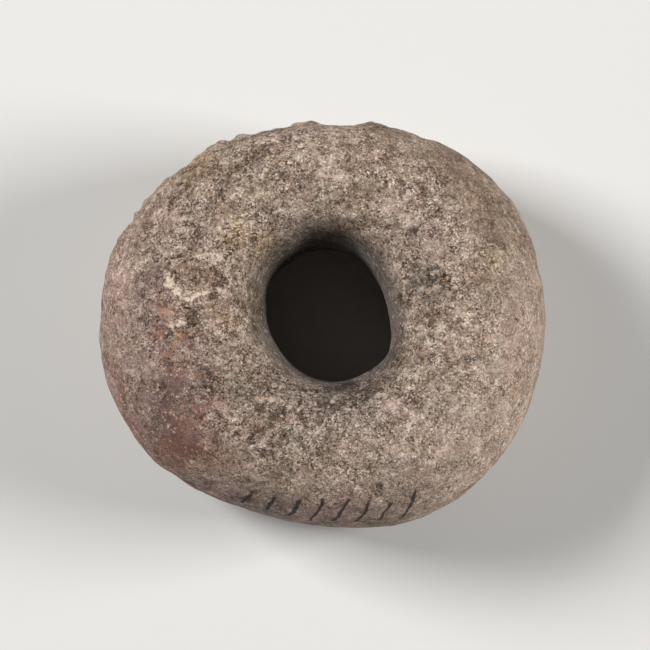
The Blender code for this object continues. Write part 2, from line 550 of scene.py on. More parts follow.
CRUST = (
    (-13.9, 2.3, 0.7, 0.6, 0, 0.95),
    (-12.2, 1.7, 1.4, 0.45, 10, 0.8),
    (-14.6, 3.3, 0.8, 0.5, 120, 0.8),
    (-11.2, 5.6, 0.9, 0.4, 10, 0.45),
    (-14.0, -1.7, 0.9, 0.4, 20, 0.7),
    (-7.6, -0.6, 1.4, 0.6, 80, 0.5),
    (-9.4, 2.9, 1.4, 0.7, 60, 0.5),
    (-10.0, 6.2, 1.2, 0.6, 140, 0.6),
)
SOOT = (
    (2.0, -8.2, 3.8, 1.4, 10, 1.2),
    (6.4, -6.4, 2.0, 1.2, 40, 0.8),
    (-2.4, -8.6, 2.6, 1.6, -30, 0.7),
    (10.4, 3.6, 1.2, 1.4, 0, 0.8),
    (9.0, 7.6, 1.6, 2.2, 20, 0.45),
    (0.4, -12.6, 3.4, 1.8, 60, 0.4),
    (-3.4, 11.4, 1.6, 1.0, 40, 0.4),
)
print(len(RUST + ORANGE + UMBER + CRUST + SOOT), "ovals of earth, rust, crust and soot")

# %% Pinker, yellower and greyer places
ROSE = (
    (-16.1, -6.7, 12.0, 6.0, 80, 0.8),
    (-11.5, -12.5, 5.0, 3.2, -20, 0.9),
    (-17.0, 10.0, 7.0, 3.0, 50, 0.6),
    (-13.0, 1.0, 4.0, 4.0, 0, 0.7),
    (20.0, 0.0, 8.0, 2.0, 85, 0.5),
    (-15.8, 2.0, 1.8, 2.8, 0, 1.3),
    (-11.0, 6.6, 2.0, 1.6, 0, 0.8),
    (-16.5, -15.0, 5.0, 2.2, -40, 1.1),
    (0.5, -19.0, 5.5, 1.6, 0, 0.9),
    (-20.2, -8.0, 6.0, 1.6, 110, 1.1),
    (-20.6, 2.0, 1.8, 5.0, 0, 0.9),
    (-17.6, -12.5, 4.0, 2.0, -55, 1.1),
    (-10.8, -16.8, 5.0, 1.6, -25, 1.0),
)
OCHRE = (
    (15.6, 13.0, 7.5, 2.4, -50, 0.7),
    (-11.5, 3.6, 4.0, 2.4, 0, 0.6),
    (6.0, 19.0, 4.0, 1.5, -10, 0.7),
    (-8.2, 7.6, 2.4, 1.6, 60, 0.9),
    (-12.4, 15.4, 3.0, 1.4, 40, 1.0),
    (16.5, 5.0, 2.4, 3.4, 0, 0.5),
    (-12.0, -14.2, 3.4, 1.4, 0, 0.7),
    (-9.6, -0.4, 1.4, 1.4, 0, 0.9),
    (-5.2, 6.4, 2.4, 1.4, 60, 1.0),
    (-6.0, 1.4, 1.0, 3.4, 0, 1.0),
    (9.2, -3.2, 1.6, 1.0, 60, 0.6),
)
GREY = (
    (3.0, -10.5, 5.5, 3.0, -10, 1.0),
    (11.5, 9.5, 2.5, 3.2, 0, 0.8),
    (12.0, -9.0, 3.5, 3.0, 0, 0.8),
    (-4.0, 9.5, 3.5, 1.6, 0, 0.8),
    (11.4, 2.6, 1.4, 2.6, 0, 0.8),
    (-8.0, -7.8, 1.9, 1.4, 0, 1.0),
    (10.8, 11.5, 1.6, 2.6, 0, 0.9),
    (9.5, -3.6, 3.6, 1.8, 0, 0.9),
    (-3.0, -13.0, 4.0, 2.0, 0, 0.8),
    (-18.2, 0.5, 1.6, 3.0, 0, 0.9),
    (-14.6, -10.0, 1.6, 2.2, 0, 0.9),
    (12.2, 3.0, 2.2, 2.6, 0, 1.0),
    (6.2, -15.9, 2.6, 2.0, 0, 0.8),
    (-7.0, -18.6, 4.0, 1.4, -12, 1.0),
    (9.0, 12.8, 1.8, 1.4, 0, 0.9),
)
print(len(ROSE + OCHRE + GREY), "pinker, yellower and greyer ovals")

# %% Paler and duller places
# Partly the stone's own paler and duller tone, partly painted light and shade: the paler ones include painted
# light along the right rim and the left edge, the duller ones painted shade on the upper right rim and the
# lower left.
PALE_AND_PAINTED_LIGHT = (
    (13.7, -12.3, 7.5, 4.8, 45, 1.1),
    (15.6, -3.0, 7.0, 3.6, 90, 0.8),
    (1.1, -16.4, 9.0, 2.4, 0, 0.7),
    (-1.9, 13.6, 9.0, 3.6, 0, 0.5),
    (9.7, 10.6, 4.5, 3.0, -40, 0.6),
    (-19.1, 3.4, 4.8, 1.6, 90, 0.8),
    (-10.6, 13.4, 2.2, 1.6, 30, 1.1),
    (-7.6, 11.2, 1.6, 1.1, 0, 0.8),
    (-3.4, 9.7, 2.6, 1.1, 0, 1.0),
    (-9.8, 10.0, 1.3, 1.0, 0, 1.0),
    (-5.6, 16.9, 2.0, 1.3, 0, 1.3),
    (2.1, 17.5, 2.6, 1.0, 0, 0.9),
    (10.2, 12.4, 2.4, 1.8, 80, 1.4),
    (12.8, 8.7, 2.8, 1.6, -30, 1.1),
    (11.8, 3.4, 2.0, 1.3, 60, 1.1),
    (9.8, -0.8, 1.2, 2.2, 0, 0.9),
    (12.8, 3.4, 2.2, 2.2, 0, 1.3),
    (10.8, -8.0, 1.8, 1.2, -40, 1.0),
    (4.6, 10.6, 2.4, 1.6, 0, 0.8),
    (14.5, -8.2, 4.0, 2.2, -40, 0.8),
    (-4.0, -17.0, 1.8, 1.2, 0, 0.9),
    (11.2, 0.4, 2.0, 1.0, 20, 0.9),
    (10.7, -4.2, 2.2, 1.3, -30, 1.0),
    (-11.5, -5.5, 1.5, 1.0, 0, 1.1),
    (-13.0, 0.4, 1.7, 0.9, 70, 0.9),
    (-7.0, -10.6, 2.6, 1.3, 20, 1.0),
    (1.1, -10.8, 2.2, 0.8, 95, 0.9),
    (-10.5, -15.9, 3.0, 1.2, -25, 0.8),
    (6.2, -15.4, 1.6, 1.2, 90, 1.0),
    (2.4, -18.8, 5.5, 1.4, 4, 1.1),
    (16.0, -11.0, 4.0, 2.4, 50, 1.1),
    (17.3, -8.8, 3.0, 1.4, 70, 1.2),
    (19.8, -3.2, 4.0, 1.2, 80, 1.1),
    (14.2, -16.9, 4.0, 1.4, 35, 1.1),
    (7.0, 14.2, 3.0, 1.6, -20, 0.6),
    (-13.2, 0.2, 1.3, 1.3, 0, 0.7),
    (-9.4, 5.2, 1.4, 1.2, 0, 0.8),
    (3.2, 7.9, 2.4, 1.4, -30, 1.4),
    (9.6, 3.4, 0.9, 2.0, 10, 0.8),
    (-2.4, -15.6, 1.2, 3.2, 0, 0.6),
)
DULL_AND_PAINTED_SHADE = (
    (-14.1, -8.8, 9.0, 5.0, 105, 0.8),
    (-13.8, -2.2, 3.0, 4.8, 0, 0.7),
    (-7.0, -7.8, 4.5, 3.0, -45, 0.7),
    (2.1, -8.0, 6.5, 1.5, 5, 1.0),
    (15.4, 13.4, 7.0, 2.6, -48, 0.85),
    (20.0, 8.6, 4.0, 1.4, -65, 0.9),
    (-14.2, 13.8, 2.4, 1.2, 45, 1.0),
    (-12.6, 5.2, 4.5, 2.6, -35, 0.6),
    (-10.8, -5.8, 4.6, 2.4, -20, 0.8),
    (-14.9, -2.0, 1.6, 1.2, 0, 0.9),
    (-14.8, 0.5, 1.3, 1.1, 0, 0.8),
    (7.4, -3.0, 0.9, 1.6, 0, 1.0),
    (-3.4, 6.6, 2.2, 1.0, 40, 1.2),
    (-6.2, -0.8, 1.0, 1.4, 0, 0.9),
    (-12.6, 3.6, 2.4, 1.0, -30, 0.7),
    (-5.2, -8.2, 2.4, 1.2, -30, 0.9),
    (-5.0, -6.6, 2.2, 2.0, -40, 0.8),
    (-3.8, 7.6, 1.6, 1.0, -30, 0.6),
    (16.8, 7.4, 1.6, 1.4, 0, 0.8),
    (-3.0, -7.8, 1.8, 1.0, 0, 0.9),
    (1.0, -11.8, 2.0, 1.2, 0, 0.6),
    (-9.0, -12.8, 1.6, 1.4, 0, 0.8),
    (-8.0, -7.6, 1.5, 1.0, 0, 0.9),
    (-14.6, -5.0, 1.6, 2.4, 0, 0.8),
    (-18.4, -8.0, 1.8, 3.0, 20, 0.6),
    (-5.4, 1.4, 4.5, 1.1, 95, 0.8),
    (-20.5, -5.0, 7.0, 2.0, 105, 0.7),
    (-6.8, 14.6, 1.6, 1.0, 40, 1.1),
    (-13.4, 10.0, 1.2, 1.0, 0, 1.0),
    (-9.0, 12.6, 0.9, 0.8, 0, 0.8),
    (-0.9, 12.8, 1.6, 1.0, -30, 1.0),
    (-4.5, 13.6, 2.0, 1.0, 90, 0.7),
    (-16.4, 3.6, 1.6, 1.9, 0, 1.2),
    (-13.6, 4.0, 1.4, 0.9, 80, 0.9),
    (-9.2, 6.5, 1.7, 1.3, -40, 0.9),
    (-8.8, -3.7, 1.4, 1.0, 30, 0.9),
    (-16.1, -0.8, 1.7, 1.0, 80, 0.8),
    (16.8, 1.9, 1.5, 1.3, 0, 1.1),
    (2.3, -8.1, 1.5, 1.0, 0, 1.3),
    (6.7, -6.5, 1.7, 1.1, 30, 1.1),
    (-2.6, -12.3, 1.9, 0.9, 100, 1.0),
    (3.1, -15.9, 1.6, 1.2, -60, 0.8),
    (13.2, 12.1, 1.6, 1.0, 20, 0.9),
    (14.7, -4.7, 1.6, 1.2, 0, 0.9),
    (9.7, 15.1, 2.0, 1.0, 80, 0.8),
    (6.2, 19.2, 3.0, 0.8, -10, 0.8),
    (10.2, 2.9, 1.3, 0.9, 90, 1.0),
    (8.2, 10.6, 1.6, 0.8, -20, 0.7),
    (-10.0, -8.8, 1.3, 1.0, 0, 0.9),
    (-13.6, -12.8, 2.4, 1.6, 90, 1.1),
)
print(len(PALE_AND_PAINTED_LIGHT + DULL_AND_PAINTED_SHADE), "paler and duller ovals")

# %% Store the stains, the rough mask and the painted shade in the mesh
STAINS = {
    "rose": ROSE,
    "ochre": OCHRE,
    "grey": GREY,
    "pale": PALE_AND_PAINTED_LIGHT,
    "dull_and_painted_shade": DULL_AND_PAINTED_SHADE,
    "umber": UMBER,
    "rust": RUST,
    "orange": ORANGE,
    "soot": SOOT,
    "crust": CRUST,
}
STAINS_START = (0.15, 0.5)
BORE_SHADE_START, DEEP_START = (0.62, 0.95), (0.85, 1.0)
FAR_WALL_AT, FAR_WALL_EDGE = 88, (20, 60)  # degrees
HOLLOW_DEPTH = 0.38 * MM


def store(mesh, name, values):
    """Keeps one number for each vertex under a name that the material can read."""
    layer = mesh.attributes.new(name, "FLOAT", "POINT")
    layer.data.foreach_set("value", values.reshape(-1).astype(np.float32))
    print(name, "from", round(values.min(), 2), "to", round(values.max(), 2))


above = eased_step(plain[..., 2] / HEIGHT, *STAINS_START)
far_side = 1 - eased_step(angle_apart(around_grid, FAR_WALL_AT), *FAR_WALL_EDGE)
for name, ovals in STAINS.items():
    store(stone.data, name, patches(patch_place, ovals) * above)
store(stone.data, "rough", rough)
# painted shade on the wall of the hole, made lighter and cooler on the far wall
store(stone.data, "painted_bore_shade", eased_step(-side_grid, *BORE_SHADE_START))
store(stone.data, "far wall", eased_step(-side_grid, *DEEP_START) * far_side)
# painted shade, darker where the relief sinks into hollows
store(stone.data, "painted_hollow_shade", np.clip(0.5 - (texture - dents) / HOLLOW_DEPTH, 0, 1))

# %% [markdown]
# ## The stone's material
#
# Close up, the stone is a crowd of grains: pale feldspar, grey-brown matrix and dark specks, few of them
# larger than a quarter of a millimetre, with cloudier clumps of a millimetre or two behind them. Noise and
# cell patterns on the object's own coordinates stay put when the piece moves. Each pattern swings evenly
# about zero, so that they can be added up, and their sum makes the plain colour lighter or darker.

# %% Helper that adds a node


def add(tree, kind, inputs=None, **settings):
    """Adds a shader node. An input is a value, or another node's output that is then linked to it."""
    made = tree.nodes.new("ShaderNode" + kind)
    for name, value in settings.items():
        setattr(made, name, value)
    for name, value in (inputs or {}).items():
        if isinstance(value, bpy.types.NodeSocket):
            tree.links.new(value, made.inputs[name])
        else:
            made.inputs[name].default_value = value
    return made


# %% Arithmetic with nodes


def calc(tree, operation, a, b=0.0):
    """One step of arithmetic on two numbers or sockets."""
    return add(tree, "Math", {0: a, 1: b}, operation=operation).outputs[0]


def sum_of(tree, first, *others):
    """All the numbers or sockets added up."""
    for other in others:
        first = calc(tree, "ADD", first, other)
    return first


def product(tree, first, *others):
    """All the numbers or sockets multiplied together."""
    for other in others:
        first = calc(tree, "MULTIPLY", first, other)
    return first


def spread(tree, value, low_end, high_end, to_low=0.0, to_high=1.0):
    """Stretches the range between two values over another range, with the ends held."""
    ends = {"Value": value, "From Min": low_end, "From Max": high_end, "To Min": to_low, "To Max": to_high}
    return add(tree, "MapRange", ends).outputs[0]


# %% Patterns and colours


def noise(tree, place, per_metre, detail, roughness=0.5, distortion=0.0):
    """Noise about one half. Each octave of its detail is twice as fine and has that share of the last."""
    inputs = {"Vector": place, "Scale": per_metre, "Detail": detail, "Roughness": roughness}
    return add(tree, "TexNoise", {**inputs, "Distortion": distortion}).outputs


def blend(tree, kind, share, a, b):
    """Mixes colour b into colour a, by a share from 0 to 1."""
    return add(tree, "Mix", {0: share, 6: a, 7: b}, data_type="RGBA", blend_type=kind).outputs[2]


def ramp(tree, value, stops):
    """A colour ramp: stops are (place, colour) pairs."""
    node = add(tree, "ValToRGB", {0: value})
    elements = node.color_ramp.elements
    while len(elements) < len(stops):
        elements.new(0.5)
    for element, (place, colour) in zip(elements, stops):
        element.position = place
        element.color = colour
    return node.outputs[0]


def attribute(tree, name):
    """One of the numbers that the mesh carries for each vertex."""
    return add(tree, "Attribute", attribute_name=name).outputs["Fac"]


# %% Helpers for node groups


def new_group(name, inputs, outputs):
    """An empty node group. A socket named Vector takes a place in space, and every other one a number."""
    group = bpy.data.node_groups.new(name, "ShaderNodeTree")
    for in_out, labels in (("INPUT", inputs), ("OUTPUT", outputs)):
        for label in labels:
            kind = "NodeSocketVector" if label == "Vector" else "NodeSocketFloat"
            group.interface.new_socket(name=label, in_out=in_out, socket_type=kind)
    return group, group.nodes.new("NodeGroupInput").outputs, group.nodes.new("NodeGroupOutput").inputs


def use(tree, group, inputs):
    """Places a group in a tree, as add() places a node, and gives back its outputs."""
    return add(tree, "Group", inputs, node_tree=group).outputs


# %% Group: grains
GRAIN_CURVE = 3.0
SEAM_WIDTH = 0.2


def make_grain_group():
    """Grains of one size. Each cell of a cell pattern has one shade of its own, from -1 to 1, cubed so that
    most grains are plain and few stand out.

    The cells are bent out of shape by noise of their own size. Seam is 1 where two grains meet and falls
    to 0 at SEAM_WIDTH of a grain away.
    """
    group, given, out = new_group("grains", ["Vector", "Per Metre"], ["Swing", "Seam"])
    place, per_metre = given["Vector"], given["Per Metre"]
    centred = {0: noise(group, place, per_metre, 1.0)["Color"], 1: (0.5, 0.5, 0.5)}
    centred = add(group, "VectorMath", centred, operation="SUBTRACT").outputs[0]
    bend = {0: centred, "Scale": calc(group, "DIVIDE", 1.0, per_metre)}
    bend = add(group, "VectorMath", bend, operation="SCALE").outputs[0]
    bent = add(group, "VectorMath", {0: place, 1: bend}, operation="ADD").outputs[0]
    cells = add(group, "TexVoronoi", {"Vector": bent, "Scale": per_metre})
    edges = add(group, "TexVoronoi", {"Vector": bent, "Scale": per_metre}, feature="DISTANCE_TO_EDGE")
    shade = add(group, "SeparateColor", {0: cells.outputs["Color"]}).outputs[0]
    swing = calc(group, "POWER", spread(group, shade, 0.0, 1.0, -1.0, 1.0), GRAIN_CURVE)
    seam = spread(group, edges.outputs["Distance"], 0.0, SEAM_WIDTH, 1.0, 0.0)
    group.links.new(swing, out["Swing"])
    group.links.new(seam, out["Seam"])
    return group


grains = make_grain_group()
print("group", grains.name, "with", len(grains.nodes), "nodes")

# %% Group: clouds
CLOUD_ENDS = (0.25, 0.75)


def make_cloud_group():
    """Clouds of one size: noise with two finer octaves, from about -1 to 1."""
    group, given, out = new_group("clouds", ["Vector", "Per Metre"], ["Swing"])
    field = noise(group, given["Vector"], given["Per Metre"], 2.0, 0.65)[0]
    group.links.new(spread(group, field, *CLOUD_ENDS, -1.0, 1.0), out["Swing"])
    return group


clouds = make_cloud_group()
print("group", clouds.name, "with", len(clouds.nodes), "nodes")

# %% Group: flecks
FLECK_EDGE = 0.16
FLECK_RAGGEDNESS = 0.5
FLECK_NOISE_FINENESS = 2.5


def make_fleck_group():
    """Scattered spots. A cell pattern gives each cell one spot, and only a share of the cells shows it.

    The mask is 1 within the spot's radius, in cells, and falls to 0 at FLECK_EDGE outside it. Noise
    finer than the cells makes the spot ragged.
    """
    group, given, out = new_group("flecks", ["Vector", "Per Metre", "Share", "Radius"], ["Mask"])
    place, per_metre = given["Vector"], given["Per Metre"]
    cells = add(group, "TexVoronoi", {"Vector": place, "Scale": per_metre})
    shade = add(group, "SeparateColor", {0: cells.outputs["Color"]}).outputs[1]
    chosen = calc(group, "LESS_THAN", shade, given["Share"])
    ragged = noise(group, place, product(group, per_metre, FLECK_NOISE_FINENESS), 2.0, 0.7)[0]
    ragged = product(group, calc(group, "SUBTRACT", ragged, 0.5), FLECK_RAGGEDNESS)
    distance = sum_of(group, cells.outputs["Distance"], ragged)
    end = sum_of(group, given["Radius"], FLECK_EDGE)
    spot = spread(group, distance, given["Radius"], end, 1.0, 0.0)
    group.links.new(product(group, spot, chosen), out["Mask"])
    return group


flecks = make_fleck_group()
print("group", flecks.name, "with", len(flecks.nodes), "nodes")

# %% Group: plateaus
PLATEAU_EDGE = (0.46, 0.54)


def make_plateau_group():
    """Flat patches with crisp, winding edges, from -1 between them to 1: noise cut off at its middle."""
    group, given, out = new_group("plateaus", ["Vector", "Per Metre"], ["Swing"])
    field = noise(group, given["Vector"], given["Per Metre"], 4.0, 0.62, 0.4)[0]
    group.links.new(spread(group, field, *PLATEAU_EDGE, -1.0, 1.0), out["Swing"])
    return group


plateaus = make_plateau_group()
print("group", plateaus.name, "with", len(plateaus.nodes), "nodes")

# %% Group: cracks
CRACK_EDGE = (0.008, 0.030)
CRACK_BREAKS = (0.53, 0.60)


def make_crack_group():
    """Short winding cracks. One noise passes its middle along thin lines, and another breaks the lines up."""
    group, given, out = new_group("cracks", ["Vector", "Per Metre"], ["Mask"])
    place, per_metre = given["Vector"], given["Per Metre"]
    lines = noise(group, place, per_metre, 3.0, 0.6)[0]
    breaks = noise(group, place, product(group, per_metre, 1.3), 2.0, 0.7)[0]
    distance = calc(group, "ABSOLUTE", calc(group, "SUBTRACT", lines, 0.5))
    line = spread(group, distance, *CRACK_EDGE, 1.0, 0.0)
    group.links.new(product(group, line, spread(group, breaks, *CRACK_BREAKS)), out["Mask"])
    return group


cracks = make_crack_group()
print("group", cracks.name, "with", len(cracks.nodes), "nodes")

# %% Group: broken edge


def make_broken_edge_group():
    """A soft mask made ragged: noise is added to it, and the sum rises from 0 to 1 about one half."""
    group, given, out = new_group("broken edge", ["Mask", "Noise", "Raggedness", "Softness"], ["Mask"])
    offset = product(group, calc(group, "SUBTRACT", given["Noise"], 0.5), given["Raggedness"])
    moved = sum_of(group, given["Mask"], offset)
    start = calc(group, "SUBTRACT", 0.5, given["Softness"])
    end = sum_of(group, 0.5, given["Softness"])
    group.links.new(spread(group, moved, start, end), out["Mask"])
    return group


broken_edge = make_broken_edge_group()
print("group", broken_edge.name, "with", len(broken_edge.nodes), "nodes")

# %% [markdown]
# The tone of a place, from 0 to 1, is looked up among five colours between dark brown and pale feldspar.
# It swings about one half with the grains, and the swing is wider where the stone is rough or its grain
# busy. Flat-topped patches with crisp edges break up the clouds, as they do on pecked stone.

# %% The stone's tones
STONE_TONES = (
    (0.00, (0.046, 0.031, 0.021, 1)),
    (0.25, (0.143, 0.102, 0.074, 1)),
    (0.50, (0.286, 0.220, 0.174, 1)),
    (0.75, (0.466, 0.372, 0.304, 1)),
    (1.00, (0.662, 0.560, 0.470, 1)),
)
GRAINS = (  # how many to a metre, and the weights of their shades and of the seams between them
    (7600.0, 1.65, 0.0),
    (3300.0, 0.60, -0.30),
    (1350.0, 0.60, -0.35),
)
CLOUDS = ((900.0, 0.30), (330.0, 0.50))  # per metre, weight
FLATS = ((560.0, 0.045), (1500.0, 0.035))
TONE_LIFT = 0.20
CONTRAST_WHERE_ROUGH = (0.15, 1.2, 0.20, 0.37)  # from the first two numbers to the last two, as spread() says
CONTRAST_WHERE_BUSY = (-0.8, 0.8, 0.68, 1.32)


def grain_and_clouds(tree, place):
    """The swings of all sizes of grain and cloud, and the seams, each times its weight, and a small lift."""
    parts = [TONE_LIFT]
    for per_metre, weight, seam_weight in GRAINS:
        pattern = use(tree, grains, {"Vector": place, "Per Metre": per_metre})
        parts.append(product(tree, pattern["Swing"], weight))
        if seam_weight:
            parts.append(product(tree, pattern["Seam"], seam_weight))
    for per_metre, weight in CLOUDS:
        pattern = use(tree, clouds, {"Vector": place, "Per Metre": per_metre})
        parts.append(product(tree, pattern["Swing"], weight))
    return sum_of(tree, *parts)


def flat_patches(tree, place, rough_here):
    """The plateaus of both sizes, each times its weight, and all times how rough the stone is here."""
    parts = []
    for per_metre, weight in FLATS:
        pattern = use(tree, plateaus, {"Vector": place, "Per Metre": per_metre})
        parts.append(product(tree, pattern["Swing"], weight))
    return product(tree, sum_of(tree, *parts), rough_here)


def stone_tone(tree, swing, flats, rough_here, busy):
    """One half, plus the swing times the contrast here, plus the flats."""
    contrast = spread(tree, rough_here, *CONTRAST_WHERE_ROUGH)
    contrast = product(tree, contrast, spread(tree, busy, *CONTRAST_WHERE_BUSY))
    return sum_of(tree, product(tree, swing, contrast), flats, 0.5)


print("tones from", STONE_TONES[0][1][:3], "to", STONE_TONES[-1][1][:3])

# %% [markdown]
# The stains come in two kinds. Soft tints only warm, cool, lighten or darken what is there, and deposits
# cover it: dark umber earth, rust, specks of orange and a pale crust. Some soft tints are not stains: the
# bore tint is painted shade on the wall of the hole, and the paler and duller ones are partly painted light
# and shade. Noise at the scale of the grain breaks up the edges of both, so that a stain ends between
# grains and not along a line.

# %% Tints and deposits
PINK_SHIFT = (1.035, 0.985, 1.00, 1)
OLIVE_SHIFT = (0.985, 1.0, 0.95, 1)
SOFT_TINTS = (  # attribute, colour that multiplies the stone's, and how ragged the edge is
    ("rose", (1.04, 0.94, 1.02, 1), 0.8),
    ("ochre", (1.02, 0.97, 0.80, 1), 1.4),
    # pale and dull are partly the stone's own tone and partly painted light and shade
    ("pale", (1.30, 1.30, 1.30, 1), 1.8),
    ("dull_and_painted_shade", (0.64, 0.63, 0.62, 1), 1.8),
    ("grey", (0.95, 0.99, 1.03, 1), 1.0),
    ("soot", (0.52, 0.54, 0.55, 1), 2.4),
    # the bore tint is painted shade on the wall of the hole, and the far wall tint makes it lighter and
    # cooler there
    ("painted_bore_shade", (0.47, 0.51, 0.56, 1), 0.6),
    ("far wall", (1.20, 1.38, 1.52, 1), 0.3),
)
TINT_SOFTNESS = 0.35
TINT_EDGE_NOISE = (1100.0, 4.0, 0.75)  # per metre, detail, roughness
DEPOSITS = (  # attribute, its own colour, how much of the stone it covers, and how ragged the edge is
    ("umber", (0.126, 0.072, 0.062, 1), 0.76, 1.9),
    ("rust", (0.200, 0.078, 0.056, 1), 0.60, 3.2),
    ("orange", (0.420, 0.180, 0.090, 1), 0.50, 3.6),
    ("crust", (0.780, 0.650, 0.500, 1), 0.80, 2.8),
)
DEPOSIT_SOFTNESS = 0.28


def stain_mask(tree, name, edge_noise, raggedness, softness):
    """The attribute of that name as a mask with broken edges."""
    soft = attribute(tree, name)
    edge = {"Mask": soft, "Noise": edge_noise, "Raggedness": raggedness, "Softness": softness}
    return use(tree, broken_edge, edge)["Mask"]


def with_tints(tree, colour, place, hue):
    """The colour times a shift between olive and pink that follows the hue, and times each soft tint."""
    shift = ramp(tree, spread(tree, hue, -0.7, 0.7), [(0.0, OLIVE_SHIFT), (1.0, PINK_SHIFT)])
    colour = blend(tree, "MULTIPLY", 1.0, colour, shift)
    edge_noise = noise(tree, place, *TINT_EDGE_NOISE)[0]
    for name, tint, raggedness in SOFT_TINTS:
        mask = stain_mask(tree, name, edge_noise, raggedness, TINT_SOFTNESS)
        colour = blend(tree, "MULTIPLY", mask, colour, tint)
    return colour


def with_deposits(tree, colour, edge_noise):
    """The colour covered by each deposit in turn, by its own share."""
    for name, tint, share, raggedness in DEPOSITS:
        mask = stain_mask(tree, name, edge_noise, raggedness, DEPOSIT_SOFTNESS)
        colour = blend(tree, "MIX", product(tree, mask, share), colour, tint)
    return colour


print(len(SOFT_TINTS), "soft tints and", len(DEPOSITS), "deposits")

# %% [markdown]
# Two things are smaller than the mesh can show. Pale crumbs of feldspar stand out of the matrix, fewer of
# them where the stone is stained. Where others have fallen out they left pocks, and thin cracks run between.
# The pocks and cracks are darkened with painted shade.

# %% Crumbs and pocks
CRUMB = (0.600, 0.500, 0.410, 1)
CRUMBS_PER_METRE, CRUMB_RADIUS = 1250.0, 0.22
CRUMB_SHARE_BY_HUE = (-0.5, 0.6, 0.05, 0.40)
CRUMBS_LEFT_BY_STAIN = (0.15, 0.8, 1.0, 0.3)
ROSE_AS_STAIN = 0.8
POCKS = ((1700.0, 0.18), (3400.0, 0.24))  # per metre, radius in cells
POCK_SHARE_BY_BUSY = (-0.5, 0.6, 0.02, 0.55)
CRACKS_PER_METRE = 480.0
POCKS_BY_ROUGH = (0.3, 1.1, 0.1, 0.9)


def crumb_mask(tree, place, hue):
    """Flecks, a larger share of them where the stone is pinker, made weaker by umber or rose stains."""
    share = spread(tree, hue, *CRUMB_SHARE_BY_HUE)
    spots = {"Vector": place, "Per Metre": CRUMBS_PER_METRE, "Share": share, "Radius": CRUMB_RADIUS}
    rosy = product(tree, attribute(tree, "rose"), ROSE_AS_STAIN)
    stained = calc(tree, "MAXIMUM", attribute(tree, "umber"), rosy)
    return product(tree, use(tree, flecks, spots)["Mask"], spread(tree, stained, *CRUMBS_LEFT_BY_STAIN))


def pock_mask(tree, place, busy, rough_here):
    """The strongest of cracks, pocks and tiny pocks, more of them where the grain is busy and it is rough."""
    share = spread(tree, busy, *POCK_SHARE_BY_BUSY)
    mask = use(tree, cracks, {"Vector": place, "Per Metre": CRACKS_PER_METRE})["Mask"]
    for per_metre, radius in POCKS:
        spots = {"Vector": place, "Per Metre": per_metre, "Share": share, "Radius": radius}
        mask = calc(tree, "MAXIMUM", mask, use(tree, flecks, spots)["Mask"])
    return product(tree, mask, spread(tree, rough_here, *POCKS_BY_ROUGH))


print("a crumb is", round(2000 * CRUMB_RADIUS / CRUMBS_PER_METRE, 2), "mm across")

# %% [markdown]
# Last comes ink. Somebody has counted with a pen on the near rim, in a row of slanting strokes. The strokes
# repeat along X at one pitch, and a random number for each one moves its ends or leaves it out, as a hand
# would.

# %% Ink
INK = (0.022, 0.020, 0.022, 1)
INK_WEAR = (0.30, 0.42, 0.35, 0.9)
STROKE_PITCH = 2.3 * MM
STROKE_HALF_WIDTH = 0.17 * MM
STROKE_SLANT = 0.35
STROKE_WAVER = 0.25 * MM
STROKE_FADE = (0.7, 1.5)  # of the half width
STROKES_KEPT = 0.85
STROKE_LOW, LOW_STRAY = 12.8 * MM, 1.2 * MM
STROKE_HIGH, HIGH_STRAY = 17.8 * MM, -1.6 * MM
ROW_ENDS = (-8.6 * MM, 9.6 * MM)
NEAR_SIDE = -14 * MM
STROKE_END_SOFT, ROW_END_SOFT = 0.15 * MM, 0.1 * MM


def between(tree, value, first, last, soft):
    """1 where the value lies between two others, and 0 outside them, with soft ends."""
    above = spread(tree, calc(tree, "SUBTRACT", value, first), -soft, soft)
    below = spread(tree, calc(tree, "SUBTRACT", last, value), -soft, soft)
    return product(tree, above, below)


def ink_strokes(tree, place, wobble):
    """The row of strokes as a mask: ink lies where |x / pitch - the nearest half| is small."""
    axes = add(tree, "SeparateXYZ", {0: place}).outputs
    lean = product(tree, axes[2], -STROKE_SLANT)
    along = sum_of(tree, axes[0], lean, product(tree, wobble, STROKE_WAVER))
    turn = calc(tree, "DIVIDE", along, STROKE_PITCH)
    number = calc(tree, "FLOOR", turn)
    offset = calc(tree, "SUBTRACT", calc(tree, "SUBTRACT", turn, number), 0.5)
    solid, gone = (STROKE_HALF_WIDTH / STROKE_PITCH * share for share in STROKE_FADE)
    line = spread(tree, calc(tree, "ABSOLUTE", offset), solid, gone, 1.0, 0.0)
    chance = add(tree, "TexWhiteNoise", {"W": number}, noise_dimensions="1D").outputs["Value"]
    kept = calc(tree, "LESS_THAN", chance, STROKES_KEPT)
    low_end = sum_of(tree, product(tree, chance, LOW_STRAY), STROKE_LOW)
    high_end = sum_of(tree, product(tree, chance, HIGH_STRAY), STROKE_HIGH)
    heights = between(tree, axes[2], low_end, high_end, STROKE_END_SOFT)
    row = between(tree, axes[0], *ROW_ENDS, ROW_END_SOFT)
    near = calc(tree, "LESS_THAN", axes[1], NEAR_SIDE)
    return product(tree, line, heights, row, near, kept)


print("strokes", round(STROKE_PITCH / MM, 1), "mm apart,", round(2 * STROKE_HALF_WIDTH / MM, 2), "mm wide")

# %% The whole material
EARTH_EDGE_NOISE = (1900.0, 3.0, 0.8)
BUSY_PER_METRE, HUE_PER_METRE = 480.0, 420.0
# painted shade for the hollows of the relief
PAINTED_HOLLOW_SHADE = (0.46, 0.39, 0.33, 1)
# painted shade for pocks and cracks
PAINTED_POCK_SHADE = (0.42, 0.35, 0.30, 1)
CRUMB_COVER_BY_ROUGH = (0.3, 1.1, 0.1, 0.6)
ROUGHNESS_BY_TONE = (0.0, 1.0, 0.95, 0.78)
BUMP_STRENGTH = 0.6
BUMP_DEPTH = 0.06 * MM
FLATS_IN_BUMP, POCKS_IN_BUMP = 8.0, -2.0
SHINE = 0.3


